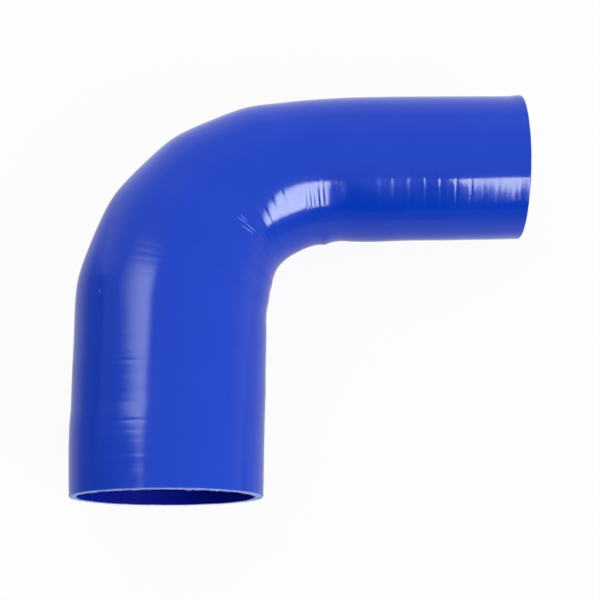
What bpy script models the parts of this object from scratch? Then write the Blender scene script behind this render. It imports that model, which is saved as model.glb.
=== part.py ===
"""A reducing elbow hose in fabric-reinforced silicone, lying on its side as it comes to rest.

The hose is one piece. A round tube follows a straight leg, a bend that tightens and opens out gradually,
and a second straight leg. It narrows through the bend from the large bore to the small one, with the same
wall all the way, and each end is trimmed flat with a knife. Units are metres and +Z is up.
"""

import math

import bmesh
import bpy
import numpy as np
from mathutils import Vector

# Bores, wall, and the straight run of each leg between its trimmed end and the bend.
LARGE_BORE = 0.070
SMALL_BORE = 0.0515
WALL = 0.004
LARGE_LEG = 0.053
SMALL_LEG = 0.053

# The bend turns the legs nearly square to each other. Its radius is the tightest one of the centreline.
# The two shares of its length are where it tightens after the large leg and opens out before the small one.
TURN_ANGLE = math.radians(87.5)
BEND_RADIUS = 0.058
TIGHTENING_SHARE = 0.32
OPENING_SHARE = 0.465

# The shares of the bend's length between which the tube narrows.
TAPER_START = 0.15
TAPER_END = 0.84

# Each knife cut leans off square, so that the side of the hose inside the bend is the shorter one.
# The tube is swept past both cuts, and the spare is what the knife takes off the longer side.
LARGE_TRIM_LEAN = math.radians(1.15)
SMALL_TRIM_LEAN = math.radians(1.35)
TRIM_SPARE = 0.003
EDGE_BREAK = 0.0004

# How finely the round forms are faceted. A bevel resolution of n gives 2n + 4 sides.
TUBE_RESOLUTION = 30
BEND_RINGS = 34
LEG_RINGS = 4
PATH_STEPS = 4000
EDGE_SEGMENTS = 2
SHARP_ANGLE = math.radians(35)

SILICONE_BLUE = (0.020, 0.056, 0.520, 1.0)
SILICONE_ROUGHNESS = 0.28


def clear_scene():
    """Removes every object that the scene starts with."""
    for old in list(bpy.data.objects):
        bpy.data.objects.remove(old, do_unlink=True)


def make_collection(name):
    """Returns a new collection, linked to the scene."""
    collection = bpy.data.collections.new(name)
    bpy.context.scene.collection.children.link(collection)
    return collection


def silicone_material():
    """Glossy blue silicone rubber, as it comes out of its curing wrap."""
    material = bpy.data.materials.new("blue_silicone")
    material.use_nodes = True
    shader = material.node_tree.nodes["Principled BSDF"]
    shader.inputs["Base Color"].default_value = SILICONE_BLUE
    shader.inputs["Metallic"].default_value = 0.0
    shader.inputs["Roughness"].default_value = SILICONE_ROUGHNESS
    return material


def smooth_step(share):
    """Rises from 0 to 1 with level ends as the share goes from 0 to 1."""
    share = np.clip(share, 0.0, 1.0)
    return share * share * (3 - 2 * share)


def bend_profile(share):
    """How tight the bend is at a share of its length: 0 on the legs and 1 where it is tightest."""
    tightening = smooth_step(share / TIGHTENING_SHARE)
    opening = smooth_step((1 - share) / OPENING_SHARE)
    return np.minimum(tightening, opening)


def running_sum(values, distance):
    """Integral of the values over the distance, by trapezia."""
    steps = np.diff(distance) * (values[1:] + values[:-1]) / 2
    return np.concatenate([[0.0], np.cumsum(steps)])


def bend_length():
    """Length of the bend's centreline: its turn at the tightest radius, over its mean tightness."""
    share = np.linspace(0, 1, PATH_STEPS)
    mean_tightness = running_sum(bend_profile(share), share)[-1]
    return TURN_ANGLE * BEND_RADIUS / mean_tightness


def hose_length():
    """Length of the centreline from one trimmed end to the other."""
    return LARGE_LEG + bend_length() + SMALL_LEG


def trim_waste():
    """Length of tube swept past each end's centre, enough for the steeper of the two cuts."""
    steeper = max(abs(LARGE_TRIM_LEAN), abs(SMALL_TRIM_LEAN))
    widest = max(LARGE_BORE, SMALL_BORE) / 2 + WALL
    return TRIM_SPARE + widest * math.tan(steeper)


def share_of_bend(distance):
    """Where along the bend a distance from the large end lies, below 0 or above 1 on the legs."""
    return (distance - LARGE_LEG) / bend_length()


def outer_radius(distance):
    """Outer radius of the tube at a distance along the centreline."""
    large = LARGE_BORE / 2 + WALL
    small = SMALL_BORE / 2 + WALL
    narrowed = smooth_step((share_of_bend(distance) - TAPER_START) / (TAPER_END - TAPER_START))
    return large + (small - large) * narrowed


def centreline(distances):
    """Points of the centreline and the angle turned so far, at distances from the large end.

    The large leg starts at the origin and runs along +Y, and the bend turns it towards +X.
    """
    waste = trim_waste()
    fine = np.linspace(-waste, hose_length() + waste, PATH_STEPS)
    turned = running_sum(bend_profile(share_of_bend(fine)) / BEND_RADIUS, fine)
    x = running_sum(np.sin(turned), fine)
    y = running_sum(np.cos(turned), fine) - waste
    points = np.stack([np.interp(distances, fine, x), np.interp(distances, fine, y)], axis=-1)
    return points, np.interp(distances, fine, turned)


def ring_distances():
    """Distances along the centreline at which the tube has a ring, waste at both ends included."""
    waste = trim_waste()
    bend_end = LARGE_LEG + bend_length()
    large = np.linspace(-waste, LARGE_LEG, LEG_RINGS, endpoint=False)
    bend = np.linspace(LARGE_LEG, bend_end, BEND_RINGS, endpoint=False)
    small = np.linspace(bend_end, hose_length() + waste, LEG_RINGS + 1)
    return np.concatenate([large, bend, small])


def swept_skins(name):
    """Mesh of the tube's outer and inner skins, still open at both ends.

    The tube is a bevelled curve whose radius follows the taper, and Solidify sets the wall inside it.
    """
    distances = ring_distances()
    points, _ = centreline(distances)
    radii = outer_radius(distances)
    curve = bpy.data.curves.new(name, "CURVE")
    curve.dimensions = "3D"
    curve.bevel_depth = radii.max()
    curve.bevel_resolution = TUBE_RESOLUTION
    curve.use_fill_caps = False
    spline = curve.splines.new("POLY")
    spline.points.add(len(distances) - 1)
    for target, (x, y), radius in zip(spline.points, points, radii):
        target.co = (x, y, 0.0, 1.0)
        target.radius = radius / curve.bevel_depth
    swept = bpy.data.objects.new(name, curve)
    bpy.context.scene.collection.objects.link(swept)
    wall = swept.modifiers.new("wall", "SOLIDIFY")
    wall.thickness = WALL
    wall.offset = -1.0
    wall.use_even_offset = True
    wall.use_rim = False
    graph = bpy.context.evaluated_depsgraph_get()
    mesh = bpy.data.meshes.new_from_object(swept.evaluated_get(graph))
    bpy.data.objects.remove(swept, do_unlink=True)
    return mesh


def trim_end(shape, distance, lean, way_out):
    """Cuts both skins with a leaning plane and closes the cut with a flat ring of faces.

    way_out is -1 at the large end and +1 at the small one.
    """
    points, turned = centreline(np.array([distance]))
    along = Vector((math.sin(turned[0]), math.cos(turned[0]), 0.0))
    inwards = Vector((along.y, -along.x, 0.0))
    outward = way_out * math.cos(lean) * along + math.sin(lean) * inwards
    whole = shape.verts[:] + shape.edges[:] + shape.faces[:]
    cut = bmesh.ops.bisect_plane(
        shape,
        geom=whole,
        plane_co=Vector((*points[0], 0.0)),
        plane_no=outward,
        clear_outer=True,
    )
    rims = [part for part in cut["geom_cut"] if isinstance(part, bmesh.types.BMEdge)]
    bmesh.ops.bridge_loops(shape, edges=rims)


def hose_mesh(name):
    """Mesh of the whole hose with both ends trimmed, its large leg along +Y from the origin."""
    mesh = swept_skins(name)
    shape = bmesh.new()
    shape.from_mesh(mesh)
    trim_end(shape, 0.0, LARGE_TRIM_LEAN, -1)
    trim_end(shape, hose_length(), SMALL_TRIM_LEAN, 1)
    bmesh.ops.recalc_face_normals(shape, faces=shape.faces)
    shape.to_mesh(mesh)
    shape.free()
    mesh.shade_smooth()
    mesh.set_sharp_from_angle(angle=SHARP_ANGLE)
    return mesh


def rest_roll():
    """Angle by which the lying hose rolls about its large leg until the small end's rim meets the floor.

    The large leg's underside is its radius below the axis. The small end's centre sinks by its reach times
    the sine of the roll, and its rim hangs its radius times the slope of its face below that.
    """
    end, turned = centreline(np.array([hose_length()]))
    reach = end[0][0]
    large = outer_radius(0.0)
    small = outer_radius(hose_length())
    sine = 0.0
    for _ in range(20):
        face_slope = math.sqrt(1 - (math.sin(turned[0]) * sine) ** 2)
        sine = (large - small * face_slope) / reach
    return math.asin(sine)


def lay_down(hose):
    """Turns the hose to its rest and puts the bottom centre of its box at the origin."""
    hose.rotation_euler = (0.0, rest_roll(), 0.0)
    bpy.context.view_layer.update()
    graph = bpy.context.evaluated_depsgraph_get()
    finished = hose.evaluated_get(graph).to_mesh()
    corners = np.empty(len(finished.vertices) * 3)
    finished.vertices.foreach_get("co", corners)
    turn = np.array(hose.matrix_world.to_3x3())
    corners = corners.reshape(-1, 3) @ turn.T
    low, high = corners.min(axis=0), corners.max(axis=0)
    hose.location = (-(low[0] + high[0]) / 2, -(low[1] + high[1]) / 2, -low[2])
    bpy.context.view_layer.update()


def build_elbow_hose(collection):
    """Makes the hose, breaks the edges of its trimmed ends and lays it down."""
    hose = bpy.data.objects.new("elbow_hose", hose_mesh("elbow_hose"))
    collection.objects.link(hose)
    hose.data.materials.append(silicone_material())
    edges = hose.modifiers.new("broken_edges", "BEVEL")
    edges.width = EDGE_BREAK
    edges.segments = EDGE_SEGMENTS
    edges.limit_method = "ANGLE"
    edges.angle_limit = SHARP_ANGLE
    lay_down(hose)
    return hose


def main():
    """Builds the hose in a collection of its own."""
    clear_scene()
    build_elbow_hose(make_collection("silicone_elbow_hose"))


main()
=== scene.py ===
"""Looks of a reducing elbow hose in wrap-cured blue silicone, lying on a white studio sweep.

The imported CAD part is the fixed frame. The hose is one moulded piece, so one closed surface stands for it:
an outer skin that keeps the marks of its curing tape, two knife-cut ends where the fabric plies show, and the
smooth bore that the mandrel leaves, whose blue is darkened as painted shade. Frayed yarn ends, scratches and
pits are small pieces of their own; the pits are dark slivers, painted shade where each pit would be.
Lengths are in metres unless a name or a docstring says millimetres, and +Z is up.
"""

import logging
import math
from collections.abc import Mapping
from dataclasses import dataclass, field
from enum import Enum

import bpy
import numpy as np
from mathutils import Matrix, Vector


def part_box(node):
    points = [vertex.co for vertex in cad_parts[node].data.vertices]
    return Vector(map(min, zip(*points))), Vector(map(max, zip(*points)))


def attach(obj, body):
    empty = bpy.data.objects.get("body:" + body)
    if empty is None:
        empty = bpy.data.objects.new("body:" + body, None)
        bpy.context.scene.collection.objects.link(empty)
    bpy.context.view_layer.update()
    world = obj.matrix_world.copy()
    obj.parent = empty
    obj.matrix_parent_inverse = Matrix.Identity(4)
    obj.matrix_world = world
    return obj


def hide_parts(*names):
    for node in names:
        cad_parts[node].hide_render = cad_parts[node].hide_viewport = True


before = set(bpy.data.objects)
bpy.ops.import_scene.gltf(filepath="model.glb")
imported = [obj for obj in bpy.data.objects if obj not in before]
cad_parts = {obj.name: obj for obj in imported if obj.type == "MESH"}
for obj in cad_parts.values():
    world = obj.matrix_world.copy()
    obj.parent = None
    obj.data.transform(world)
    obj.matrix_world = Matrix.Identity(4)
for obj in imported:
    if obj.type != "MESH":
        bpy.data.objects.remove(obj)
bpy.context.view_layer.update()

LOG = logging.getLogger("elbow_hose_looks")
MM = 0.001
CAD_NODE = "elbow_hose"
LENGTHS = "Lengths"

# Marks on the skin, each as the distance along the hose in millimetres and the angle round it in degrees
# of its start, then those of its end: the bench scratches, the yarns on the lump and the pits. The pits are
# dark slivers in the bore's darkened blue, painted shade where each pit would be.
SCRATCHES = (
    (119.7, 70.3, 121.3, 63.3),
    (121.9, 69.5, 122.4, 63.8),
    (120.8, 63.8, 122.7, 53.5),
    (118.3, 64.8, 120.8, 53.8),
    (75.0, 136.2, 76.4, 137.6),
)
LUMP_FRAYS = (
    (165.3, -6.0, 167.0, -12.0),
    (166.6, -8.0, 168.8, -10.0),
    (167.4, -12.5, 169.2, -16.0),
)
PAINTED_PIT_SHADE = (
    (115.4, 132.8, 116.0, 133.4),
    (93.4, 41.0, 94.0, 41.8),
    (232.9, 116.5, 233.6, 116.9),
)


class SeenBy(Enum):
    """Which part of a surface's look a lamp reaches."""

    GLOSS = "gloss"
    BODY = "body"


class Finish(Enum):
    """The three surfaces of the hose wall, in the order of its material slots."""

    SKIN = 0
    BORE = 1
    CUT = 2


def linear(hex_colour: str) -> tuple[float, float, float, float]:
    """Turns an sRGB hex colour into linear light.

    Args:
        hex_colour: The colour as six hex digits.

    Returns:
        Red, green, blue and an alpha of 1, in linear light.
    """
    shares = np.array([int(hex_colour[i : i + 2], 16) / 255 for i in (0, 2, 4)])
    light = np.where(shares <= 0.04045, shares / 12.92, ((shares + 0.055) / 1.055) ** 2.4)
    red, green, blue = (float(share) for share in light)
    return red, green, blue, 1.0


def feed(tree: bpy.types.NodeTree, node: bpy.types.Node, inputs: Mapping[str | int, object]) -> None:
    """Fills a node's inputs.

    Args:
        tree: The tree that holds the node.
        node: The node to feed.
        inputs: What goes into each socket: an output socket, a node, whose first live output is meant, or a
            constant, which is set on the socket itself.
    """
    for name, source in inputs.items():
        if isinstance(source, bpy.types.Node):
            source = next(output for output in source.outputs if output.enabled)
        if isinstance(source, bpy.types.NodeSocket):
            tree.links.new(source, node.inputs[name])
        else:
            node.inputs[name].default_value = source


def add_node(
    tree: bpy.types.NodeTree, kind: str, inputs: Mapping[str | int, object] | None = None, **settings: object
) -> bpy.types.Node:
    """Adds a node to a tree, with its settings and what goes into it.

    Args:
        tree: The tree that gets the node.
        kind: The node's type name after "ShaderNode".
        inputs: What goes into each socket, as feed takes it.
        settings: The node's own properties.

    Returns:
        The new node.
    """
    node = tree.nodes.new("ShaderNode" + kind)
    for name, setting in settings.items():
        setattr(node, name, setting)
    feed(tree, node, inputs or {})
    return node


def new_material(
    name: str, constants: Mapping[str | int, object]
) -> tuple[bpy.types.Material, bpy.types.NodeTree, bpy.types.Node]:
    """Starts a material.

    Args:
        name: The material's name.
        constants: What is the same all over the surface, by the shader's socket.

    Returns:
        The material, its tree and its Principled shader.
    """
    material = bpy.data.materials.new(name)
    material.use_nodes = True
    shader = material.node_tree.nodes["Principled BSDF"]
    feed(material.node_tree, shader, constants)
    return material, material.node_tree, shader


def ramp(value: np.ndarray, start: float = 0.0, end: float = 1.0) -> np.ndarray:
    """Rises from 0 to 1 with level ends as the value goes from start to end: 3 squares less 2 cubes."""
    share = np.clip((value - start) / (end - start), 0.0, 1.0)
    return share * share * (3 - 2 * share)


def hump(distance: np.ndarray, centre: float, reach: float) -> np.ndarray:
    """A bell of height 1: e to the minus square of the distance from its centre over its reach."""
    return np.exp(-(((distance - centre) / reach) ** 2))


def grid_faces(rings: int, sides: int, closed: bool = False) -> np.ndarray:
    """Point numbers of the faces of a grid of rings.

    Args:
        rings: How many rings there are.
        sides: Points in each ring.
        closed: Whether the last ring joins the first.

    Returns:
        One row of four for each face, from its ring to the next and on round the ring.
    """
    ring, side = np.meshgrid(np.arange(rings if closed else rings - 1), np.arange(sides), indexing="ij")
    next_ring, next_side = (ring + 1) % rings, (side + 1) % sides
    corners = [(ring, side), (next_ring, side), (next_ring, next_side), (ring, next_side)]
    return np.stack([a * sides + b for a, b in corners], axis=-1).reshape(-1, 4)


def surface_mesh(name: str, points: np.ndarray, faces: list[list[int]]) -> bpy.types.Mesh:
    """Makes a smooth mesh.

    Args:
        name: The mesh's name.
        points: Its points, in an array of any shape whose last axis holds x, y and z.
        faces: Point numbers of each face, anticlockwise from outside.

    Returns:
        The mesh.
    """
    mesh = bpy.data.meshes.new(name)
    mesh.from_pydata(points.reshape(-1, 3), [], faces)
    mesh.update(calc_edges=True)
    mesh.shade_smooth()
    return mesh


def add_piece(mesh: bpy.types.Mesh) -> bpy.types.Object:
    """Links a mesh as a piece of its name that rides on the hose's body, and reports it.

    Args:
        mesh: The finished mesh, in the row frame.

    Returns:
        The piece.
    """
    piece = bpy.data.objects.new(mesh.name, mesh)
    bpy.context.scene.collection.objects.link(piece)
    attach(piece, "root")
    LOG.info("%s: %d points, %d faces", mesh.name, len(mesh.vertices), len(mesh.polygons))
    return piece


@dataclass(frozen=True)
class Route:
    """The hose's centreline, a straight leg, an eased bend and a second straight leg, and its bores."""

    large_bore: float = 0.070
    small_bore: float = 0.0515
    wall: float = 0.004
    large_leg: float = 0.053
    small_leg: float = 0.053
    turn: float = math.radians(87.5)
    tightest_radius: float = 0.058
    tightening_share: float = 0.32
    opening_share: float = 0.465
    taper_start: float = 0.15
    taper_end: float = 0.84
    large_trim_lean: float = math.radians(1.15)
    small_trim_lean: float = math.radians(1.35)
    steps: int = 4000
    spare: float = 0.005

    def tightness(self, share: np.ndarray) -> np.ndarray:
        """How tight the bend is at a share of its length: the lower of the two eased ramps at its ends."""
        return np.minimum(ramp(share, 0, self.tightening_share), ramp(share, 1, 1 - self.opening_share))

    @staticmethod
    def running_sum(values: np.ndarray, distance: np.ndarray) -> np.ndarray:
        """Integral of the values over the distance, by trapezia."""
        areas = np.diff(distance) * (values[1:] + values[:-1]) / 2
        return np.concatenate([[0.0], np.cumsum(areas)])

    @property
    def bend_length(self) -> float:
        """Length of the bend.

        Returns:
            Its turn times its tightest radius, over its mean tightness.
        """
        share = np.linspace(0, 1, self.steps)
        mean_tightness = self.running_sum(self.tightness(share), share)[-1]
        return float(self.turn * self.tightest_radius / mean_tightness)

    @property
    def length(self) -> float:
        """Length of the centreline from one trimmed end to the other."""
        return self.large_leg + self.bend_length + self.small_leg

    def share_of_bend(self, distance: np.ndarray) -> np.ndarray:
        """Where along the bend a distance from the large end lies."""
        return (distance - self.large_leg) / self.bend_length

    def outer_radius(self, distance: np.ndarray) -> np.ndarray:
        """Outer radius along the hose, eased from the large end's to the small end's within the bend.

        Args:
            distance: Distances from the large end.

        Returns:
            The radius at each distance.
        """
        large = self.large_bore / 2 + self.wall
        small = self.small_bore / 2 + self.wall
        return large + (small - large) * ramp(self.share_of_bend(distance), self.taper_start, self.taper_end)

    def centres(self, distance: np.ndarray) -> tuple[np.ndarray, np.ndarray]:
        """Points of the centreline, by summing its heading, which itself sums the tightness.

        Args:
            distance: Distances from the large end.

        Returns:
            The points with z at 0, and the angle turned so far at each.
        """
        fine = np.linspace(-self.spare, self.length + self.spare, self.steps)
        bending = self.tightness(self.share_of_bend(fine)) / self.tightest_radius
        turned = self.running_sum(bending, fine)
        x = self.running_sum(np.sin(turned), fine)
        y = self.running_sum(np.cos(turned), fine) - self.spare
        points = [np.interp(distance, fine, x), np.interp(distance, fine, y), np.zeros_like(distance)]
        return np.stack(points, axis=-1), np.interp(distance, fine, turned)

    def around(self, distance: np.ndarray, angle: np.ndarray) -> np.ndarray:
        """Unit vectors square to the centreline: cosine towards the bend's inside plus sine upwards.

        Args:
            distance: Distances from the large end.
            angle: Angles round the hose from the bend's inner side, over its top.

        Returns:
            One vector for each distance and angle.
        """
        _, turned = self.centres(distance)
        sideways = [np.cos(angle) * np.cos(turned), -np.cos(angle) * np.sin(turned), np.sin(angle)]
        return np.stack(np.broadcast_arrays(*sideways), axis=-1)

    def rest_roll(self) -> float:
        """Angle by which the lying hose rolls until the small end's rim meets the floor.

        The roll's sine is the large radius less the rim's hang, over the small end's reach. The hang is the
        small radius times the slope of its face, which follows from the sine, so it is found in rounds.

        Returns:
            The angle, about the large leg.
        """
        end, turned = self.centres(np.array([self.length]))
        large = float(self.outer_radius(np.array([0.0]))[0])
        small = float(self.outer_radius(np.array([self.length]))[0])
        sine = 0.0
        for _ in range(20):
            face_slope = math.sqrt(1 - (math.sin(turned[0]) * sine) ** 2)
            sine = (large - small * face_slope) / end[0][0]
        return math.asin(sine)


@dataclass(frozen=True)
class CuringTape:
    """Marks of the tape that was wound round the hose while it cured, pressed into the skin.

    Each turn of the tape leaves one band. A band leans out of line with the hose, and a small step at its
    edge drops to the next band. The lean and the step's sharpness are drawn at random, but a shaped turn,
    which holds its number, lean and sharpness, has its own. A pinch in the tape left a short groove, and
    holds its distance along the hose in millimetres, its angle in degrees, and its reach and depth in
    millimetres. A depth below 0 makes it a low ridge. The grip grows from the first to the second value of
    each of its two ranges, which are of the angle's cosine and of its sine.
    """

    pitch: float = 6.1 * MM
    first_edge: float = 2.5 * MM
    wander: float = 0.45 * MM
    slow_wander: float = 7.3 * MM
    quick_wander: float = 3.1 * MM
    quick_share: float = 0.6
    lean: float = 0.012
    edge_fade: float = 0.12
    step: float = 0.040 * MM
    step_reach: float = 1.10 * MM
    plainest_step: float = 0.35
    bands: int = 64
    loose_side: float = 0.22
    grip_inside: tuple[float, float] = (-0.3, 0.3)
    under_side: float = 0.35
    grip_above: tuple[float, float] = (0.5, 0.75)
    shaped_turns: tuple[tuple[int, float, float], ...] = (
        (26, -0.3, 0.90),
        (27, 0.5, 0.00),
        (28, 0.0, 0.00),
        (29, 0.4, 0.08),
        (30, 0.2, 0.50),
        (31, 0.0, 0.70),
        (32, -0.1, 1.10),
        (33, -0.2, 1.30),
        (34, -0.3, 1.40),
        (35, -0.5, 1.40),
        (36, -0.7, 1.10),
        (37, -0.45, 0.30),
        (38, -0.15, 0.30),
        (39, -0.2, 0.25),
        (40, -0.45, 0.30),
        (41, -0.6, 0.20),
    )
    pinches: tuple[tuple[float, float, float, float], ...] = (
        (21.9, 111.0, 0.55, 0.025),
        (25.8, 111.0, 0.55, 0.060),
        (32.8, 111.0, 0.55, 0.025),
        (49.1, 111.0, 0.55, 0.040),
        (82.0, 111.0, 0.55, 0.028),
        (89.0, 111.0, 0.55, 0.034),
        (157.2, 53.0, 0.50, 0.140),
        (159.3, 54.0, 0.50, 0.110),
        (161.2, 54.0, 0.50, 0.080),
        (163.5, 55.0, 0.50, 0.100),
        (165.8, 58.0, 0.50, 0.080),
        (174.0, 58.0, 2.60, -0.120),
        (224.0, 66.0, 17.5, -0.280),
    )
    pinch_spread: float = math.radians(11)
    seed: int = 102578

    def turns(self, distance: np.ndarray, angle: np.ndarray) -> np.ndarray:
        """Count of tape turns: distance over pitch plus the share of a turn round the hose, with some wander.

        The wander is a slow sine along the hose plus a quick one that also turns round it.

        Args:
            distance: Distances from the large end.
            angle: Angles round the hose.

        Returns:
            The count at each distance and angle, whole at each edge of the tape.
        """
        quick = self.quick_share * np.sin(distance / self.quick_wander + angle)
        wandering = self.wander * (np.sin(distance / self.slow_wander) + quick)
        return (distance - self.first_edge + wandering) / self.pitch + angle / (2 * np.pi)

    def grip(self, angle: np.ndarray) -> np.ndarray:
        """How deep the marks are: full high on the bend's inner side, where cosine and sine are large.

        Args:
            angle: Angles round the hose.

        Returns:
            The share of the full depth at each angle.
        """
        inside = self.loose_side + (1 - self.loose_side) * ramp(np.cos(angle), *self.grip_inside)
        above = self.under_side + (1 - self.under_side) * ramp(np.sin(angle), *self.grip_above)
        return inside * above

    def height(self, distance: np.ndarray, angle: np.ndarray) -> np.ndarray:
        """Height of the tape's marks.

        Each band's own lean times the way across it, plus its rise and the step at its edge, all times the
        grip, less the pinches, which are bells along and round the hose.

        Args:
            distance: Distances from the large end.
            angle: Angles round the hose.

        Returns:
            The height at each distance and angle.
        """
        turns = self.turns(distance, angle)
        band = np.floor(turns).astype(int)
        across = turns - band
        leans, sharpnesses = np.random.default_rng(self.seed).normal(size=(2, self.bands))
        sharpnesses = self.plainest_step + np.abs(sharpnesses)
        for number, own_lean, own_sharpness in self.shaped_turns:
            leans[number], sharpnesses[number] = own_lean, own_sharpness
        fading = ramp(across, 0, self.edge_fade) * ramp(across, 1, 1 - self.edge_fade)
        sloping = self.lean * leans[band % self.bands] * (across - 0.5) * self.pitch * fading
        drop = ramp(across, 1 - self.step_reach / self.pitch, 1)
        step = self.step * sharpnesses[band % self.bands] * (across - drop)
        pinched = np.zeros_like(across)
        for place, side, reach, depth in self.pinches:
            across_hose = hump(angle, math.radians(side), self.pinch_spread)
            pinched += depth * MM * hump(distance, place * MM, reach * MM) * across_hose
        return (sloping + step) * self.grip(angle) - pinched


@dataclass(frozen=True)
class HandLaidForm:
    """Where the hand-laid skin departs from a true tube.

    A fold holds its distance along the hose, its reach and its height, in millimetres.
    """

    route: Route
    corners: tuple[float, ...] = (0.0500, 0.0820, 0.1052, 0.1264, 0.1480, 0.1570, 0.1870, 0.2200, 0.2400)
    corner_heights_mm: tuple[float, ...] = (0.0, 0.60, 0.37, 0.68, 0.50, -0.29, 0.18, 0.21, 0.06)
    flat_sags_mm: tuple[float, ...] = (0.42, 0.90, 0.81, 0.79, 0.0, 0.0, 0.0, 0.0)
    corner_rounding: float = 2.6 * MM
    leg_swelling: float = 0.38 * MM
    swelling_rise: tuple[float, float] = (0.0070, 0.0220)
    swelling_fall: tuple[float, float] = (0.0350, 0.0265)
    leg_pinch: float = 0.46 * MM
    leg_pinch_place: float = -2.0 * MM
    leg_pinch_reach: float = 7.0 * MM
    end_flare: float = 0.40 * MM
    flare_length: float = 5.0 * MM
    folds_mm: tuple[tuple[float, float, float], ...] = (
        (43.0, 6.0, 0.12),
        (78.5, 8.5, -0.53),
        (107.0, 5.0, 0.28),
        (127.5, 8.5, -0.41),
        (150.0, 6.5, 0.25),
        (175.5, 4.2, -0.42),
        (190.0, 8.5, 0.35),
        (219.0, 9.0, 0.15),
        (238.0, 8.0, 0.12),
    )
    lump_place: float = 0.1675
    lump_reach: float = 2.5 * MM
    lump_height: float = 0.50 * MM
    lump_spread: float = 0.05
    waviness: float = 0.04 * MM
    wave_reach: float = 7.1 * MM
    wave_twist: float = 17.0 * MM

    def flats(self, distance: np.ndarray) -> np.ndarray:
        """The outside of the bend as a run of flats between low corners.

        Straight from corner to corner, less each flat's sag times 1 minus the square of the way from its
        middle, to the power 1.5. The mean of five nearby distances rounds the corners.

        Args:
            distance: Distances from the large end.

        Returns:
            The height over the true tube at each distance.
        """
        corners = np.array(self.corners)
        heights = np.array(self.corner_heights_mm) * MM
        sags = np.array(self.flat_sags_mm) * MM
        height = np.zeros_like(distance)
        for offset in np.linspace(-self.corner_rounding, self.corner_rounding, 5):
            moved = distance + offset
            flat = np.clip(np.searchsorted(corners, moved) - 1, 0, len(sags) - 1)
            start, end = corners[flat], corners[flat + 1]
            way = np.clip(np.abs(2 * (moved - start) / (end - start) - 1), 0, 1)
            height += (np.interp(moved, corners, heights) - sags[flat] * (1 - way**2) ** 1.5) / 5
        return height

    def height(self, distance: np.ndarray, angle: np.ndarray) -> np.ndarray:
        """Height of the skin over the true tube, before the tape's marks.

        The sum of the flats, the large leg's swelling and pinch, the small end's flare, the inner folds, the
        lump and the waves. The share of the outer side, 1 outside the bend and 0 inside it, to a power, keeps
        each on its side. The waves are one sine along and round the hose times another.

        Args:
            distance: Distances from the large end.
            angle: Angles round the hose.

        Returns:
            The height at each distance and angle.
        """
        outer = (1 - np.cos(angle)) / 2
        inner = 1 - outer
        length = self.route.length
        swelling = ramp(distance, *self.swelling_rise) * ramp(distance, *self.swelling_fall)
        pinch = self.leg_pinch * hump(distance, self.leg_pinch_place, self.leg_pinch_reach)
        flare = self.end_flare * ramp(distance, length - self.flare_length, length)
        folds = sum(
            height * MM * hump(distance, place * MM, reach * MM) for place, reach, height in self.folds_mm
        )
        lump = self.lump_height * hump(distance, self.lump_place, self.lump_reach)
        lump = lump * hump(np.cos(angle), 1, self.lump_spread)
        waves = np.sin(distance / self.wave_reach + 2 * np.cos(angle))
        waves = self.waviness * waves * np.sin(3 * angle + distance / self.wave_twist)
        leg = self.leg_swelling * swelling - pinch
        outside = self.flats(distance) * outer**4 + leg * outer**2 + flare * outer
        return outside + folds * inner**5 + lump + waves


@dataclass(frozen=True)
class WrapCuredSilicone:
    """Silicone rubber cured under a wound film tape: glossy, deep blue, with faint creases in the gloss.

    The film leaves a shine like wet paint, which breaks up at each edge of the tape. The pigment is opaque.
    """

    name: str = "wrap_cured_blue_silicone"
    colour: str = "003BBF"
    cloudy_colour: str = "0840C8"
    ior: float = 1.41
    roughness_range: tuple[float, float] = (0.08, 0.15)
    cloud_range: tuple[float, float] = (0.3, 0.7)
    cloud_size: float = 22 * MM
    crease_pitch: float = 2.4 * MM
    crease_length: float = 40 * MM
    crease_depth: float = 0.026 * MM
    grain: float = 0.9 * MM
    grain_depth: float = 0.0015 * MM

    def build(self) -> bpy.types.Material:
        """Makes the material: clouded blue, uneven gloss, and creases along the tape's turns as bump.

        Returns:
            The material.
        """
        material, tree, shader = new_material(self.name, {"IOR": self.ior})
        place = add_node(tree, "TexCoord").outputs["Object"]
        cloudy = {"Vector": place, "Scale": 1 / self.cloud_size, "Detail": 3.0, "Roughness": 0.55}
        clouds = add_node(tree, "TexNoise", cloudy)
        blues = {"A": linear(self.colour), "B": linear(self.cloudy_colour), "Factor": clouds}
        colour = add_node(tree, "Mix", blues, data_type="RGBA")
        ranges = dict(enumerate(self.cloud_range + self.roughness_range, start=1))
        gloss = add_node(tree, "MapRange", {0: clouds, **ranges})
        lengths = add_node(tree, "UVMap", uv_map=LENGTHS)
        crease_scale = (1 / self.crease_pitch, 1 / self.crease_length, 1.0)
        along = add_node(tree, "Mapping", {"Vector": lengths, "Scale": crease_scale})
        creases = add_node(tree, "TexNoise", {"Vector": along, "Scale": 1.0, "Detail": 2.0, "Roughness": 0.5})
        grain = add_node(tree, "TexNoise", {"Vector": place, "Scale": 1 / self.grain, "Detail": 1.0})
        creased = add_node(tree, "Bump", {"Height": creases, "Strength": 1.0, "Distance": self.crease_depth})
        fine = {"Height": grain, "Normal": creased, "Strength": 1.0, "Distance": self.grain_depth}
        grained = add_node(tree, "Bump", fine)
        feed(tree, shader, {"Base Color": colour, "Roughness": gloss, "Normal": grained})
        return material


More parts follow.
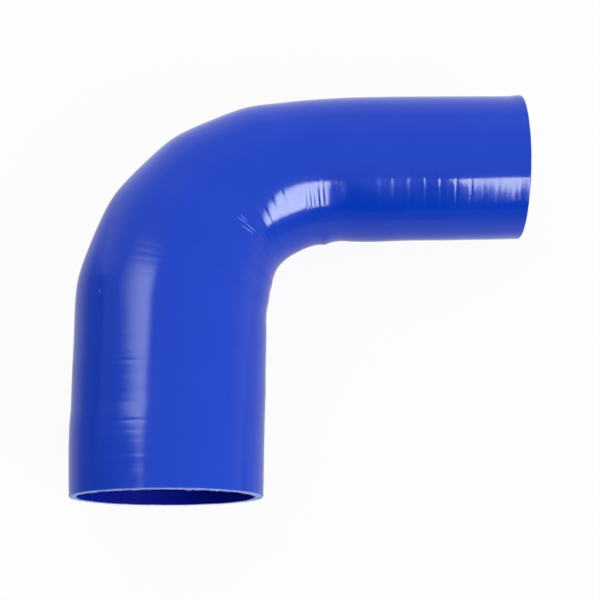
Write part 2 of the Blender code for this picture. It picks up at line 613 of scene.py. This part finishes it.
@dataclass(frozen=True)
class MandrelSiliconePaintedShade:
    """Silicone rubber cured against a steel mandrel: even and satin, in a blue darkened past the skin's as
    painted shade for the inside of the bore.
    """

    name: str = "mandrel_silicone_painted_shade"
    # A blue darker than the skin's: painted shade for the inside of the bore.
    colour: str = "00149C"
    ior: float = 1.41
    roughness: float = 0.68
    shine: float = 0.06
    streak: float = 1.6 * MM
    streak_length: float = 20 * MM
    streak_depth: float = 0.010 * MM

    def build(self) -> bpy.types.Material:
        """Makes the material: plain blue with fine streaks along the bore, as the mandrel was polished.

        Returns:
            The material.
        """
        plain = {"Base Color": linear(self.colour), "Roughness": self.roughness, "IOR": self.ior}
        material, tree, shader = new_material(self.name, plain | {"Specular IOR Level": self.shine})
        lengths = add_node(tree, "UVMap", uv_map=LENGTHS)
        streak_scale = (1 / self.streak_length, 1 / self.streak, 1.0)
        along = add_node(tree, "Mapping", {"Vector": lengths, "Scale": streak_scale})
        streaks = add_node(tree, "TexNoise", {"Vector": along, "Scale": 1.0, "Detail": 2.0})
        bump = add_node(tree, "Bump", {"Height": streaks, "Strength": 1.0, "Distance": self.streak_depth})
        feed(tree, shader, {"Normal": bump})
        return material


@dataclass(frozen=True)
class KnifeCutPlies:
    """The wall cut with a knife: dull blue rubber between plies of pale polyester, rough with cut yarn."""

    name: str = "knife_cut_fabric_plies"
    rubber: str = "2450DC"
    yarn: str = "BCD0F4"
    ior: float = 1.41
    roughness: float = 0.62
    ply_pitch: float = 1.0 * MM
    ply_share: float = 0.55
    pale_range: tuple[float, float, float, float] = (0.45, 1.0, 0.1, 1.0)
    yarn_pitch: float = 0.8 * MM
    roughness_depth: float = 0.10 * MM

    def build(self) -> bpy.types.Material:
        """Makes the material: pale rings at the ply pitch, broken up at the yarn pitch, with a torn bump.

        A wave texture repeats 20 times in 2 pi of its scale, which gives the ring's scale. The range holds
        where the pale share starts and ends, and its values there.

        Returns:
            The material.
        """
        material, tree, shader = new_material(self.name, {"Roughness": self.roughness, "IOR": self.ior})
        lengths = add_node(tree, "UVMap", uv_map=LENGTHS)
        place = add_node(tree, "TexCoord").outputs["Object"]
        ring_scale = 2 * math.pi / (20 * self.ply_pitch)
        ringed = {"Vector": lengths, "Scale": ring_scale, "Distortion": 1.5, "Detail": 1.0}
        rings = add_node(tree, "TexWave", ringed, wave_type="BANDS", bands_direction="X").outputs["Fac"]
        cut_yarn = {"Vector": place, "Scale": 1 / self.yarn_pitch, "Detail": 3.0, "Roughness": 0.7}
        torn = add_node(tree, "TexNoise", cut_yarn)
        share = add_node(tree, "Math", {0: rings, 1: self.ply_share, 2: torn}, operation="MULTIPLY_ADD")
        pale = add_node(tree, "MapRange", {0: share, **dict(enumerate(self.pale_range, start=1))})
        blues = {"A": linear(self.rubber), "B": linear(self.yarn), "Factor": pale}
        colour = add_node(tree, "Mix", blues, data_type="RGBA")
        bump = add_node(tree, "Bump", {"Height": share, "Strength": 1.0, "Distance": self.roughness_depth})
        feed(tree, shader, {"Base Color": colour, "Normal": bump})
        return material


@dataclass(frozen=True)
class CutYarn:
    """Bleached polyester yarn that the knife pulled out of the wall: white, fuzzy and dull."""

    name: str = "cut_polyester_yarn"
    colour: str = "E9EEFA"
    stained_colour: str = "A4B4E6"
    ior: float = 1.58
    roughness: float = 0.7
    speckle: float = 0.4 * MM

    def build(self) -> bpy.types.Material:
        """Makes the material, with a light speckle, coarser than the filaments so that it shows.

        Returns:
            The material.
        """
        material, tree, shader = new_material(self.name, {"Roughness": self.roughness, "IOR": self.ior})
        place = add_node(tree, "TexCoord").outputs["Object"]
        speckle = add_node(tree, "TexNoise", {"Vector": place, "Scale": 1 / self.speckle, "Detail": 1.0})
        whites = {"A": linear(self.stained_colour), "B": linear(self.colour), "Factor": speckle}
        feed(tree, shader, {"Base Color": add_node(tree, "Mix", whites, data_type="RGBA")})
        return material


@dataclass(frozen=True)
class ScuffedSilicone:
    """Silicone that something scraped: without gloss, and pale because the torn rubber scatters the light."""

    name: str = "scuffed_blue_silicone"
    colour: str = "86A2F2"
    ior: float = 1.41
    roughness: float = 0.6

    def build(self) -> bpy.types.Material:
        """Makes the material in one plain pale blue."""
        plain = {"Base Color": linear(self.colour), "Roughness": self.roughness, "IOR": self.ior}
        return new_material(self.name, plain)[0]


@dataclass
class HoseBody:
    """The moulded hose as one closed surface, which runs out along the skin and back through the bore."""

    route: Route = field(default_factory=Route)
    tape: CuringTape = field(default_factory=CuringTape)
    edge_break: float = 0.30 * MM
    support: float = 0.35 * MM
    overhang: float = 0.36 * MM
    edge_rings: int = 3
    skin_rings: int = 540
    bore_rings: int = 40
    cut_rings: int = 9
    sides: int = 156
    torn_depth: float = 0.10 * MM
    torn_range: tuple[float, float] = (-0.5, 1.5)
    seed: int = 5

    def __post_init__(self) -> None:
        """Works out the hand-laid form and the place where the frame has the hose."""
        self.form = HandLaidForm(self.route)
        self.angle = -np.pi / 2 + 2 * np.pi * np.arange(self.sides + 1) / self.sides
        self.place = self.resting_place()

    def resting_place(self) -> Matrix:
        """Where the plain tube comes to rest.

        Returns:
            The matrix that rolls it and centres it on the CAD node's box.
        """
        roll = Matrix.Rotation(self.route.rest_roll(), 4, "Y")
        distance = np.linspace(0, self.route.length, self.skin_rings)[:, None]
        radius = self.route.outer_radius(distance)
        lean = self.trim_shift(distance / self.route.length, radius, self.angle[None])
        points = self.on_tube(distance + lean, self.angle[None], radius)
        rolled = points.reshape(-1, 3) @ np.array(roll.to_3x3()).T
        low, high = (np.array(corner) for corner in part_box(CAD_NODE))
        shift = (low + high) / 2 - (rolled.min(axis=0) + rolled.max(axis=0)) / 2
        return Matrix.Translation(Vector(shift)) @ roll

    def along(self, share: np.ndarray) -> np.ndarray:
        """Distance along the hose at a share of its length, which starts the overhang before 0."""
        return share * (self.route.length + self.overhang) - self.overhang

    def trim_shift(self, share: np.ndarray, radius: np.ndarray, angle: np.ndarray) -> np.ndarray:
        """How far the leaning cuts carry a point along the hose.

        Each cut's plane lies at the radius times the cosine of the angle times the tangent of its lean, and
        the shift passes evenly from the one cut to the other along the share of the length.

        Args:
            share: Shares of the length from the large end.
            radius: Distances from the centreline.
            angle: Angles round the hose.

        Returns:
            The shift of each point.
        """
        reach = radius * np.cos(angle)
        at_large = reach * math.tan(self.route.large_trim_lean)
        at_small = -reach * math.tan(self.route.small_trim_lean)
        return at_large * (1 - share) + at_small * share

    def on_tube(self, distance: np.ndarray, angle: np.ndarray, radius: np.ndarray) -> np.ndarray:
        """Points round the centreline: the centre plus the radius times the unit vector at the angle.

        Args:
            distance: Distances from the large end.
            angle: Angles round the hose.
            radius: Distances from the centreline.

        Returns:
            The points, in the centreline's own frame.
        """
        distance, angle, radius = np.broadcast_arrays(distance, angle, radius)
        centres, _ = self.route.centres(distance)
        return centres + radius[..., None] * self.route.around(distance, angle)

    def skin_height(self, distance: np.ndarray, angle: np.ndarray) -> np.ndarray:
        """Height of the skin over the true tube: the tape's marks on the hand-laid form."""
        return self.tape.height(distance, angle) + self.form.height(distance, angle)

    def skin_points(self, distance: np.ndarray, angle: np.ndarray, lift: float = 0.0) -> np.ndarray:
        """Finished points on the skin, or a lift above it, in the row frame."""
        radius = self.route.outer_radius(distance) + self.skin_height(distance, angle) + lift
        return self.placed(self.on_tube(distance, angle, radius))

    def placed(self, points: np.ndarray) -> np.ndarray:
        """The points moved from the centreline's own frame to the row frame."""
        matrix = np.array(self.place)
        return points @ matrix[:3, :3].T + matrix[:3, 3]

    def profile(self) -> tuple[np.ndarray, np.ndarray, np.ndarray, np.ndarray]:
        """The closed profile of the wall, one entry for each ring.

        It goes along the skin, round the small end's outer edge, down the cut face, round the inner edge,
        back through the bore and round the large end in the same way. A rounded edge is a quarter circle.

        Returns:
            The share of the length, the depth inside the nearest cut, the depth in the wall from the skin and
            the finish of the faces that start at each ring.
        """
        quarter = np.linspace(0, np.pi / 2, self.edge_rings + 1)
        ease_in = self.edge_break * (1 - np.sin(quarter))
        ease_down = self.edge_break * (1 - np.cos(quarter))
        wall = self.route.wall
        face = np.linspace(self.edge_break, wall - self.edge_break, self.cut_rings + 2)[1:-1]
        support = np.array([self.support / self.route.length])
        skin = np.concatenate([support, np.linspace(0, 1, self.skin_rings)[1:-1], 1 - support])
        back = np.concatenate([1 - support, np.linspace(1, 0, self.bore_rings)[1:-1], support])
        ones = np.ones(self.edge_rings + 1)
        share = [skin, ones, 1 + 0 * face, ones, back, 0 * ones, 0 * face, 0 * ones]
        inside = [0 * skin, ease_in, 0 * face, ease_in[::-1], 0 * back, ease_in, 0 * face, ease_in[::-1]]
        down = [0 * skin, ease_down, face, wall - ease_down[::-1]]
        down += [wall + 0 * back, wall - ease_down, face[::-1], ease_down[::-1]]
        kinds = [Finish.SKIN] * 2 + [Finish.CUT] * 2 + [Finish.BORE] * 2 + [Finish.CUT] * 2
        finish = np.concatenate([np.full(len(part), kind.value) for part, kind in zip(share, kinds)])
        last_skin = len(skin) + self.edge_rings
        finish[last_skin] = Finish.CUT.value
        finish[last_skin + len(face) + self.edge_rings + 1] = Finish.BORE.value
        return np.concatenate(share), np.concatenate(inside), np.concatenate(down), finish

    def grid(self) -> tuple[np.ndarray, np.ndarray, np.ndarray]:
        """Every point of the wall, ring by ring.

        A point lies at its share of the length, moved in from the cut and along by the cut's lean, and at the
        outer radius plus the skin's height less its depth in the wall. The skin's height fades through the
        wall, so the bore stays true. The cut faces are torn by a smoothed random depth.

        Returns:
            The points, their distances along the hose and their depths in the wall.
        """
        share, inside, down, _ = (part[:, None] for part in self.profile())
        angle = self.angle[None, :-1]
        way_in = np.where(share < 0.5, 1.0, -1.0)
        distance = self.along(share) + way_in * inside
        plain = self.route.outer_radius(distance) - down
        distance = distance + self.trim_shift(distance / self.route.length, plain, angle)
        fade = ramp(down, self.route.wall, 0)
        radius = self.route.outer_radius(distance) - down + fade * self.skin_height(distance, angle)
        cut = ((share == 0) | (share == 1)) & (inside == 0)
        distance = distance + np.where(cut, way_in * self.torn(distance.shape), 0.0)
        return self.placed(self.on_tube(distance, angle, radius)), distance, down + 0 * distance

    def torn(self, shape: tuple[int, ...]) -> np.ndarray:
        """A random depth at every point, averaged with its neighbours round the hose.

        Args:
            shape: How many rings and sides there are.

        Returns:
            The depths.
        """
        draws = np.random.default_rng(self.seed).normal(size=shape)
        soft = (draws + np.roll(draws, 1, axis=1) + np.roll(draws, -1, axis=1)) / 3
        return self.torn_depth * np.clip(soft, *self.torn_range)

    def lengths_map(self, distance: np.ndarray, down: np.ndarray, finish: np.ndarray) -> np.ndarray:
        """UV map in metres: along the hose, or down the wall on a cut, by the way round at mean girth.

        Args:
            distance: Each point's distance along the hose.
            down: Its depth in the wall.
            finish: The finish of the faces that start at each ring.

        Returns:
            One row for each corner of each face.
        """
        girth = np.pi * (self.route.large_bore + self.route.small_bore) / 2
        on_cut = (finish == Finish.CUT.value)[:, None]
        start = np.where(on_cut, down, distance)
        end = np.where(on_cut, np.roll(down, -1, axis=0), np.roll(distance, -1, axis=0))
        start_after, end_after = (np.roll(part, -1, axis=1) for part in (start, end))
        turn = girth * (self.angle[:-1] + np.pi / 2) / (2 * np.pi)
        turn_after = turn + girth / self.sides
        corners = [(start, turn), (end, turn), (end_after, turn_after), (start_after, turn_after)]
        parts = [np.stack(np.broadcast_arrays(u, v[None]), axis=-1) for u, v in corners]
        return np.stack(parts, axis=2).reshape(-1, 2)

    def build(self, materials: Mapping[Finish, bpy.types.Material]) -> bpy.types.Object:
        """Makes the mesh and dresses it.

        Args:
            materials: The material of each finish.

        Returns:
            The hose, riding on the frame in place of its CAD node.
        """
        points, distance, down = self.grid()
        finish = self.profile()[-1]
        faces = grid_faces(len(finish), self.sides, closed=True)
        mesh = surface_mesh("silicone_hose", points, faces.tolist())
        for kind in Finish:
            mesh.materials.append(materials[kind])
        mesh.polygons.foreach_set("material_index", np.repeat(finish, self.sides).astype(np.int32))
        layer = mesh.uv_layers.new(name=LENGTHS)
        layer.data.foreach_set("uv", self.lengths_map(distance, down, finish).astype(np.float32).ravel())
        hose = add_piece(mesh)
        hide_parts(CAD_NODE)
        return hose


def strands_mesh(
    name: str, paths: np.ndarray, thickness: np.ndarray, ups: np.ndarray, sides: int
) -> bpy.types.Mesh:
    """Closed strands: at each point of a path, an oval round it, which shrinks towards both ends.

    Its size is the square root of the sine of the way along, or of the least sine where that is more. Each
    end is closed by one face.

    Args:
        name: The mesh's name.
        paths: Points by strand and step.
        thickness: Half width and half height of each strand, by strand.
        ups: The direction of each strand's height, by strand and step.
        sides: Points round the oval.

    Returns:
        The mesh of all the strands.
    """
    strands, steps = paths.shape[:2]
    along = np.gradient(paths, axis=1)
    along /= np.linalg.norm(along, axis=-1, keepdims=True)
    across = np.cross(along, ups)
    across /= np.linalg.norm(across, axis=-1, keepdims=True)
    upward = np.cross(across, along)
    least_sine = 0.02
    sine = np.sin(np.pi * np.linspace(0, 1, steps))
    swell = np.sqrt(np.clip(sine, least_sine, 1))[None, :, None, None]
    turn = 2 * np.pi * np.arange(sides) / sides
    wide = np.cos(turn)[None, None, :, None] * thickness[:, 0][:, None, None, None] * across[:, :, None]
    high = np.sin(turn)[None, None, :, None] * thickness[:, 1][:, None, None, None] * upward[:, :, None]
    points = paths[:, :, None] + swell * (wide + high)
    first = np.arange(strands)[:, None] * steps * sides
    outward = np.roll(grid_faces(steps, sides)[:, ::-1], 1, axis=1)
    quads = (first[..., None] + outward).reshape(-1, 4)
    near_ends = first + np.arange(sides)[::-1]
    far_ends = first + (steps - 1) * sides + np.arange(sides)
    return surface_mesh(name, points, quads.tolist() + near_ends.tolist() + far_ends.tolist())


@dataclass
class FrayedYarns:
    """Short yarn ends that stand out of a cut face where the knife pulled the plies.

    The share is 0 at the large end and 1 at the small one. The scatters are spreads of the random draws: of
    the depth in shares of a ply, and of the length and the thickness as logarithms. The sideways and
    downward leans are spreads too, in shares of the length.
    """

    body: HoseBody
    name: str
    share: float
    count: int
    length: float = 0.36 * MM
    length_scatter: float = 0.45
    thickness: float = 0.055 * MM
    thickness_scatter: float = 0.35
    sideways: float = 0.9
    downward: float = 0.5
    plies: int = 4
    ply_scatter: float = 0.12
    root: float = -0.35
    steps: int = 4
    sides: int = 5
    seed: int = 3

    def build(self, material: bpy.types.Material) -> bpy.types.Object:
        """Makes the strands.

        Each leaves the cut at a ply's depth, from a root inside the wall. It leans sideways and downward by
        the square of the way along it, and thins out at its ends.

        Args:
            material: The yarn's material.

        Returns:
            The piece.
        """
        route = self.body.route
        draws = np.random.default_rng(self.seed)
        angle = draws.uniform(0, 2 * np.pi, self.count)
        ply = draws.integers(0, self.plies - 1, self.count)
        down = (ply + 0.5 + draws.normal(0, self.ply_scatter, self.count)) * route.wall / self.plies
        out = -1.0 if self.share < 0.5 else 1.0
        reach = self.length * draws.lognormal(0, self.length_scatter, self.count)
        lean = draws.normal(0, self.sideways, self.count) * reach
        sink = draws.normal(0, self.downward, self.count) * reach
        step = np.linspace(self.root, 1, self.steps)[None]
        share = np.full(self.count, self.share)
        edge = self.body.along(share)
        radius = route.outer_radius(edge) - down
        radius += (1 - down / route.wall) * self.body.skin_height(edge, angle)
        edge = edge + self.body.trim_shift(share, radius, angle)
        distance = edge[:, None] + out * reach[:, None] * step
        turned = angle[:, None] + lean[:, None] * step**2 / radius[:, None]
        sunk = radius[:, None] + sink[:, None] * step**2
        paths = self.body.placed(self.body.on_tube(distance, turned, sunk))
        width = self.thickness * draws.lognormal(0, self.thickness_scatter, self.count)
        ups = np.broadcast_to(route.around(distance, turned), paths.shape)
        mesh = strands_mesh(self.name, paths, np.stack([width, width], axis=-1), ups, self.sides)
        mesh.materials.append(material)
        return add_piece(mesh)


@dataclass
class Marks:
    """Fine marks on the skin, such as scratches, loose yarns and pits, each a sliver between two points."""

    body: HoseBody
    name: str
    places: tuple[tuple[float, float, float, float], ...]
    half_width: float = 0.11 * MM
    half_height: float = 0.03 * MM
    steps: int = 9
    sides: int = 6

    def build(self, material: bpy.types.Material) -> bpy.types.Object:
        """Makes the slivers, which run straight in distance and angle from their starts to their ends.

        Args:
            material: The material of the marks.

        Returns:
            The piece.
        """
        start, end = np.array(self.places)[:, :2], np.array(self.places)[:, 2:]
        way = np.linspace(0, 1, self.steps)[None, :, None]
        between = start[:, None] * (1 - way) + end[:, None] * way
        distance, angle = between[..., 0] * MM, np.radians(between[..., 1])
        paths = self.body.skin_points(distance, angle)
        ups = self.body.skin_points(distance, angle, 1 * MM) - paths
        thickness = np.tile([[self.half_width, self.half_height]], (len(start), 1))
        mesh = strands_mesh(self.name, paths, thickness, ups, self.sides)
        mesh.materials.append(material)
        return add_piece(mesh)


@dataclass(frozen=True)
class Studio:
    """The white sweep that the hose lies on, and what the camera and the gloss see of it."""

    radius: float = 3.2
    cove_radius: float = 0.25
    cove_height: float = 0.15
    cove_rings: int = 24
    floor_rings: int = 8
    middle_share: float = 0.02
    sides: int = 96
    paint: str = "F2F2F2"
    roughness: float = 0.9
    white_to_camera: float = 0.93
    white_in_gloss: float = 0.90
    # Painted glow seen in reflections: bright round the middle and on one side, painted shade elsewhere.
    painted_glow_middle: tuple[float, float, float, float] = (0.13, 0.25, 0.56, 0.18)
    painted_glow_side: tuple[float, float, float, float] = (-0.10, 0.22, 0.18, 0.85)
    towards_painted_glow: tuple[float, float, float] = (1.0, 3.0, 0.0)

    def material(self) -> bpy.types.Material:
        """Matt white paper, which keeps the hose's shadow.

        To the camera it is mostly plain white. In reflections it glows with painted light, pale round the
        hose and far off on its bright side, and with painted shade elsewhere, dim as if flags kept the lamps
        off it.
        Each of the two ranges holds where it starts and ends, and the painted brightness there.

        Returns:
            The material.
        """
        plain = {"Base Color": linear(self.paint), "Roughness": self.roughness}
        material, tree, paper = new_material("matt_white_paper_painted_glow", plain)
        rays = add_node(tree, "LightPath").outputs
        bounces = {0: rays["Is Glossy Ray"], 1: rays["Is Transmission Ray"]}
        bounced = add_node(tree, "Math", bounces, operation="MAXIMUM")
        in_gloss = add_node(tree, "Math", {0: bounced, 1: self.white_in_gloss}, operation="MULTIPLY")
        shares = {0: rays["Is Camera Ray"], 1: self.white_to_camera, 2: in_gloss}
        share = add_node(tree, "Math", shares, operation="MULTIPLY_ADD")
        place = add_node(tree, "TexCoord").outputs["Object"]
        from_middle = add_node(tree, "VectorMath", {0: place}, operation="LENGTH")
        to_side = add_node(tree, "VectorMath", {0: place, 1: self.towards_painted_glow}, operation="DOT_PRODUCT")
        strength = rays["Is Camera Ray"]
        # The two ranges paint light and shade into what the gloss sees of the paper.
        for way, limits in ((from_middle, self.painted_glow_middle), (to_side, self.painted_glow_side)):
            lit = {0: way, **dict(enumerate(limits, start=1))}
            brightness = add_node(tree, "MapRange", lit, interpolation_type="SMOOTHSTEP")
            strength = add_node(tree, "Math", {0: strength, 1: brightness}, operation="MAXIMUM")
        white = add_node(tree, "Emission", {"Strength": strength})
        mix = add_node(tree, "MixShader", {0: share, 1: paper, 2: white})
        feed(tree, tree.nodes["Material Output"], {"Surface": mix})
        return material

    def build(self) -> bpy.types.Object:
        """Makes the sweep: rings out to the cove, then up a quarter circle and a short wall.

        Radius and height come from the way along the profile: level, then the cove's sine and cosine.

        Returns:
            The sweep, as part of the stage.
        """
        floor = np.linspace(self.middle_share, 1, self.floor_rings) * (self.radius - self.cove_radius)
        quarter = np.linspace(0, np.pi / 2, self.cove_rings)[1:]
        cove = self.radius - self.cove_radius + self.cove_radius * np.sin(quarter)
        rise = self.cove_radius * (1 - np.cos(quarter))
        reach = np.concatenate([floor, cove, [self.radius]])[:, None]
        height = np.concatenate([0 * floor, rise, [self.cove_radius + self.cove_height]])[:, None]
        turn = 2 * np.pi * np.arange(self.sides) / self.sides
        points = np.stack([reach * np.cos(turn), reach * np.sin(turn), height + 0 * turn], axis=-1)
        faces = grid_faces(len(reach), self.sides).tolist() + [list(range(self.sides))]
        mesh = surface_mesh("paper_sweep", points, faces)
        mesh.materials.append(self.material())
        sweep = bpy.data.objects.new("paper_sweep", mesh)
        bpy.context.scene.collection.objects.link(sweep)
        return sweep


@dataclass(frozen=True)
class SoftBox:
    """A soft light that faces a point, and may be narrower at its top than at its foot.

    Azimuth, elevation and roll are in degrees. The foot shift is the share of the width by which the middle
    of its foot lies right of the middle of its top. Each edge has the share of the size over which it fades
    in, and the least share of the brightness there.
    """

    name: str
    azimuth: float
    elevation: float
    distance: float
    width: float
    height: float
    radiance: float
    seen_by: SeenBy
    tint: str = "FFFFFF"
    roll: float = 0.0
    top_share: float = 1.0
    foot_shift: float = 0.0
    left: tuple[float, float] = (0.02, 0.0)
    right: tuple[float, float] = (0.02, 0.0)
    foot: tuple[float, float] = (0.02, 0.0)
    top: tuple[float, float] = (0.02, 0.0)
    aim: tuple[float, float, float] = (0.0, 0.0, 0.039)

    def pattern(self, tree: bpy.types.NodeTree) -> bpy.types.NodeSocket:
        """Where the light is bright: 1 between its leaning sides and 0 beyond them, times its four fades.

        The way across is the distance from the leaning middle over the width at that level, plus a half.

        Args:
            tree: The light's own nodes.

        Returns:
            The socket that gives the share of the brightness.
        """
        spot = add_node(tree, "NewGeometry").outputs["Parametric"]
        parts = add_node(tree, "SeparateXYZ", {0: spot}).outputs
        level = parts["Y"]
        narrowing = {0: level, 1: self.top_share - 1, 2: 1.0}
        width = add_node(tree, "Math", narrowing, operation="MULTIPLY_ADD")
        leaning = {0: level, 1: -self.foot_shift, 2: 0.5 * (1 + self.foot_shift)}
        middle = add_node(tree, "Math", leaning, operation="MULTIPLY_ADD")
        aside = add_node(tree, "Math", {0: parts["X"], 1: middle}, operation="SUBTRACT")
        off_middle = add_node(tree, "Math", {0: aside, 1: width}, operation="DIVIDE")
        across = add_node(tree, "Math", {0: off_middle, 1: 0.5}, operation="ADD")
        bright = add_node(tree, "Math", {0: off_middle, 1: 0.0, 2: 0.5}, operation="COMPARE")
        edges = [(across, 0, 1, self.left), (across, 1, -1, self.right)]
        edges += [(level, 0, 1, self.foot), (level, 1, -1, self.top)]
        for way, edge, inwards, (reach, least) in edges:
            fading = {0: way, 1: edge, 2: edge + inwards * reach, 3: least, 4: 1.0}
            fade = add_node(tree, "MapRange", fading, interpolation_type="SMOOTHSTEP")
            bright = add_node(tree, "Math", {0: bright, 1: fade}, operation="MULTIPLY")
        return bright.outputs["Value"]

    def build(self) -> bpy.types.Object:
        """Makes the light, whose power is pi times its area times its radiance.

        Returns:
            The light.
        """
        lamp = bpy.data.lights.new(self.name, "AREA")
        lamp.shape = "RECTANGLE"
        lamp.size, lamp.size_y = self.width, self.height
        lamp.energy = math.pi * self.width * self.height * self.radiance
        lamp.color = linear(self.tint)[:3]
        lamp.use_nodes = True
        feed(lamp.node_tree, lamp.node_tree.nodes["Emission"], {"Strength": self.pattern(lamp.node_tree)})
        box = bpy.data.objects.new(self.name, lamp)
        box.visible_diffuse = self.seen_by is SeenBy.BODY
        box.visible_glossy = self.seen_by is SeenBy.GLOSS
        bpy.context.scene.collection.objects.link(box)
        azimuth, elevation = math.radians(self.azimuth), math.radians(self.elevation)
        level = math.cos(elevation)
        back = Vector((level * math.cos(azimuth), level * math.sin(azimuth), math.sin(elevation)))
        across = Vector((-back.y, back.x, 0.0)).normalized()
        facing = Matrix((across, back.cross(across), back)).transposed().to_4x4()
        turned = facing @ Matrix.Rotation(math.radians(self.roll), 4, "Z")
        box.matrix_world = Matrix.Translation(Vector(self.aim) + self.distance * back) @ turned
        return box


@dataclass(frozen=True)
class StudioRoom:
    """The pale room round the studio, which is dark low down on the side where the photographer stands."""

    walls: str = "D8DDE2"
    dark_side: str = "34373B"
    dark_towards: tuple[float, float, float] = (-0.5, -0.866, 0.0)
    dark_from: float = 0.0
    dark_to: float = 0.80

    def build(self) -> None:
        """Sets the world: pale all over, and darker as the direction nears the dark side."""
        world = bpy.data.worlds.new("studio_room")
        world.use_nodes = True
        bpy.context.scene.world = world
        tree = world.node_tree
        way = add_node(tree, "TexCoord").outputs["Generated"]
        towards = add_node(tree, "VectorMath", {0: way, 1: self.dark_towards}, operation="DOT_PRODUCT")
        darkening = {0: towards, 1: self.dark_from, 2: self.dark_to, 3: 0.0, 4: 1.0}
        share = add_node(tree, "MapRange", darkening, interpolation_type="SMOOTHSTEP")
        greys = {"A": linear(self.walls), "B": linear(self.dark_side), "Factor": share}
        feed(tree, tree.nodes["Background"], {"Color": add_node(tree, "Mix", greys, data_type="RGBA")})


@dataclass(frozen=True)
class PhotoCamera:
    """A camera over the lying hose, which leans back and aside from straight down by angles in degrees."""

    lens_mm: float = 120.0
    sensor_mm: float = 36.0
    distance: float = 0.8231
    lean_back: float = 10.6976
    lean_aside: float = 0.1764
    roll: float = 0.8766
    aim: tuple[float, float, float] = (-0.00047, -0.00207, 0.030)

    def build(self) -> bpy.types.Object:
        """Makes the camera and sets it as the scene's own.

        Returns:
            The camera.
        """
        data = bpy.data.cameras.new("photo_camera")
        data.lens = self.lens_mm
        data.sensor_width = self.sensor_mm
        camera = bpy.data.objects.new("photo_camera", data)
        bpy.context.scene.collection.objects.link(camera)
        aside, backward = math.tan(math.radians(self.lean_aside)), math.tan(math.radians(self.lean_back))
        back = Vector((aside, -backward, 1.0)).normalized()
        roll = math.radians(self.roll)
        level = Vector((math.cos(roll), math.sin(roll), 0.0))
        right = (level - back * level.dot(back)).normalized()
        turned = Matrix((right, back.cross(right), back)).transposed().to_4x4()
        camera.matrix_world = Matrix.Translation(Vector(self.aim) + self.distance * back) @ turned
        bpy.context.scene.camera = camera
        return camera


def studio_lamps() -> list[SoftBox]:
    """Lists the lamps.

    Returns:
        Two soft boxes whose shapes show in the gloss, and three fills that light the body colour evenly.
    """
    boxes = [
        SoftBox(
            "right_soft_box",
            azimuth=-55.7,
            elevation=40.7,
            distance=1.042,
            width=1.131,
            height=0.781,
            radiance=16.0,
            seen_by=SeenBy.GLOSS,
            tint="F8FFF2",
            roll=-10.0,
            top_share=0.301,
            foot_shift=0.291,
            left=(0.20, 0.92),
            right=(0.25, 0.40),
            foot=(0.10, 0.30),
            top=(0.03, 0.0),
            aim=(0.2200, 0.0768, -0.0316),
        ),
        SoftBox(
            "left_soft_box",
            azimuth=155.9,
            elevation=48.3,
            distance=1.031,
            width=0.555,
            height=0.78,
            radiance=5.4,
            seen_by=SeenBy.GLOSS,
            tint="F8FFF2",
            left=(0.44, 0.06),
            right=(0.24, 0.0),
            foot=(0.74, 0.10),
            top=(0.22, 0.0),
        ),
    ]
    fills = (
        ("right_fill", -43.8, 37.5, 1.0, 0.50, 0.66, 4.2),
        ("left_fill", 150.0, 55.0, 1.0, 0.60, 0.60, 1.2),
        ("back_fill", 95.0, 28.0, 1.3, 1.2, 0.6, 1.6),
    )
    return boxes + [SoftBox(*fill, seen_by=SeenBy.BODY) for fill in fills]


def main() -> None:
    """Builds the camera, the lights, the sweep and the pieces of the hose in order."""
    logging.basicConfig(level=logging.INFO, format="%(message)s")
    bpy.context.scene.view_settings.view_transform = "Standard"
    PhotoCamera().build()
    StudioRoom().build()
    Studio().build()
    for lamp in studio_lamps():
        lamp.build()
    body = HoseBody()
    skin, bore, cut = WrapCuredSilicone().build(), MandrelSiliconePaintedShade().build(), KnifeCutPlies().build()
    body.build({Finish.SKIN: skin, Finish.BORE: bore, Finish.CUT: cut})
    yarn = CutYarn().build()
    FrayedYarns(body, "large_end_yarns", share=0.0, count=300, seed=3).build(yarn)
    FrayedYarns(body, "small_end_yarns", share=1.0, count=300, seed=4).build(yarn)
    FrayedYarns(
        body,
        "large_end_nicks",
        share=0.0,
        count=90,
        length=0.22 * MM,
        thickness=0.10 * MM,
        sideways=2.2,
        seed=7,
    ).build(yarn)
    Marks(body, "skin_scratches", SCRATCHES).build(ScuffedSilicone().build())
    Marks(body, "lump_frays", LUMP_FRAYS, half_width=0.08 * MM, half_height=0.10 * MM).build(yarn)
    # The pits are dark slivers in the bore's material: painted shade for each pit, with no hollow.
    Marks(body, "skin_pits_painted_shade", PAINTED_PIT_SHADE, half_width=0.24 * MM).build(bore)


if __name__ == "__main__":
    main()
